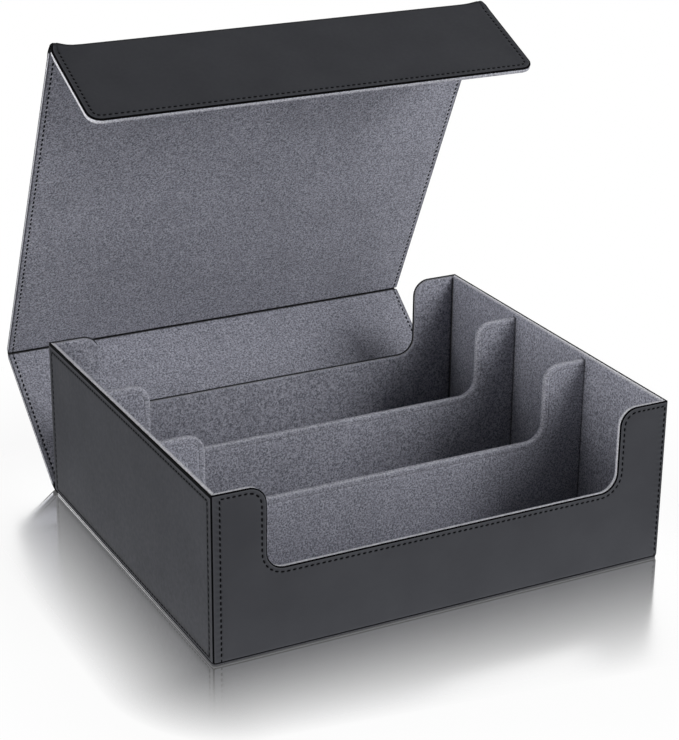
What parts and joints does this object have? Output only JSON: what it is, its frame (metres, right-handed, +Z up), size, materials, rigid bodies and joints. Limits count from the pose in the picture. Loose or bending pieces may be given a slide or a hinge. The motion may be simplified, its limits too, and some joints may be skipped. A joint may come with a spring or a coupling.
{
  "type": "card storage box",
  "caption": "Leather-covered tray of open-sided lanes for rows of trading cards, in a wrap-around cover of spine, lid and front flap on living hinges, with a hidden magnetic closure.",
  "frame": {"origin": "centre of the tray's underside, on the surface that the box stands on", "axes": "+Z up, -Y towards the front wall that the flap closes on, +X to the right seen from the front"},
  "size_m": [0.32, 0.363, 0.3212],
  "materials": {
    "charcoal_leather": "fine-grained charcoal PU leather, satin",
    "grey_microsuede": "matt grey microsuede with a short nap",
    "greyboard": "plain greyboard, hidden between leather and lining",
    "zinc_steel": "zinc-plated, hidden behind the leather",
    "nickel_magnet": "nickel-plated, hidden behind the lining"
  },
  "bodies": {
    "tray": {"base_leather": "charcoal_leather", "base_board": "greyboard", "floor_lining": "grey_microsuede", "front_wall_leather": "charcoal_leather", "front_wall_board": "greyboard", "front_wall_lining": "grey_microsuede", "right_wall_leather": "charcoal_leather", "right_wall_board": "greyboard", "right_wall_lining": "grey_microsuede", "rear_wall_leather": "charcoal_leather", "rear_wall_board": "greyboard", "rear_wall_lining": "grey_microsuede", "left_wall_leather": "charcoal_leather", "left_wall_board": "greyboard", "left_wall_lining": "grey_microsuede", "partition_1_board": "greyboard", "partition_1_lining": "grey_microsuede", "partition_2_board": "greyboard", "partition_2_lining": "grey_microsuede", "left_steel_plate": "zinc_steel", "right_steel_plate": "zinc_steel", "spine_hinge_leather": "charcoal_leather"},
    "spine": {"spine_leather": "charcoal_leather", "spine_board": "greyboard", "spine_lining": "grey_microsuede", "lid_hinge_leather": "charcoal_leather"},
    "lid": {"lid_leather": "charcoal_leather", "lid_board": "greyboard", "lid_lining": "grey_microsuede", "flap_hinge_leather": "charcoal_leather"},
    "flap": {"flap_leather": "charcoal_leather", "flap_board": "greyboard", "flap_lining": "grey_microsuede", "left_magnet": "nickel_magnet", "right_magnet": "nickel_magnet"}
  },
  "joints": [
    {"name": "spine_hinge", "type": "hinge", "parent": "tray", "child": "spine", "pos_m": [0, 0.1374, 0.002], "axis": [1, 0, 0], "range_deg": [-38, 52]},
    {"name": "lid_hinge", "type": "hinge", "parent": "spine", "child": "lid", "pos_m": [0, 0.22597, 0.0712], "axis": [1, 0, 0], "range_deg": [-77.5, 12.5]},
    {"name": "flap_hinge", "type": "hinge", "parent": "lid", "child": "flap", "pos_m": [0, 0.10767, 0.31923], "axis": [1, 0, 0], "range_deg": [-88.5, 1.5]}
  ]
}
